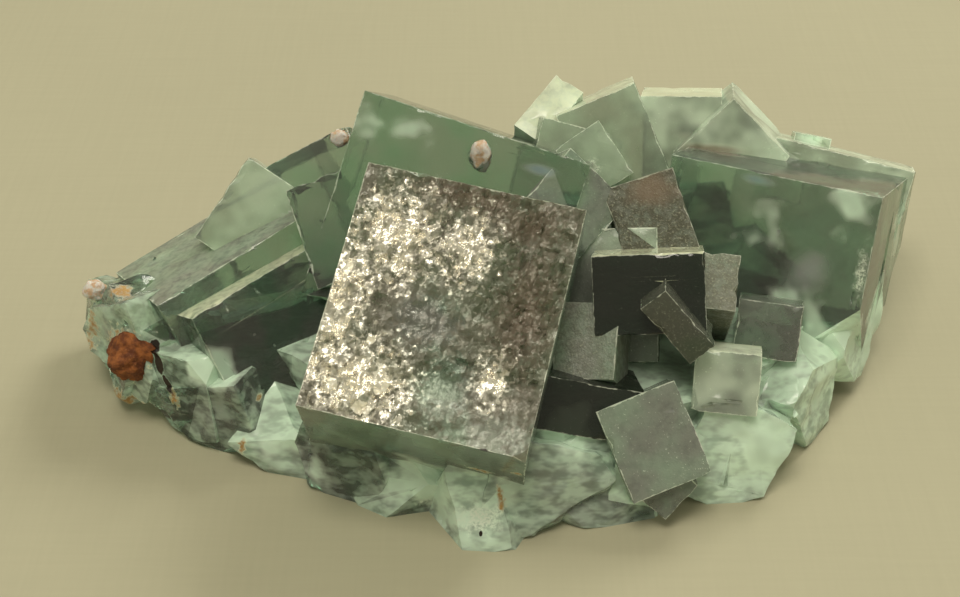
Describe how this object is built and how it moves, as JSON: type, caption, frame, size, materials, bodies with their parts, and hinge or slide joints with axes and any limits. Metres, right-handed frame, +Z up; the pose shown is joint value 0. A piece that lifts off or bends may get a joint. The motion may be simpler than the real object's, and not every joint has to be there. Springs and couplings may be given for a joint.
{
  "type": "fluorite specimen",
  "caption": "Cluster of intergrown green fluorite cubes on a broken cleaved base, for display on a shelf or in a case.",
  "frame": {"origin": "middle of the bounding box in plan, on the surface that the specimen rests on", "axes": "+Z up, +X along the specimen's length towards the end with the large upright cube, -Y towards the front that the picture looks at"},
  "size_m": [0.1366, 0.0793, 0.0454],
  "materials": {
    "fluorite": "clear grey-green crystal, glassy on most faces and frosted by etching on the largest one",
    "iron_oxide": "earthy rust brown, matt",
    "pale_grain": "chalky off-white with a warm stain"
  },
  "bodies": {
    "root": {"fluorite_cluster": "fluorite", "iron_oxide_lump": "iron_oxide", "pale_grain_back": "pale_grain", "pale_grain_left": "pale_grain", "pale_grain_tip": "pale_grain"}
  },
  "joints": []
}
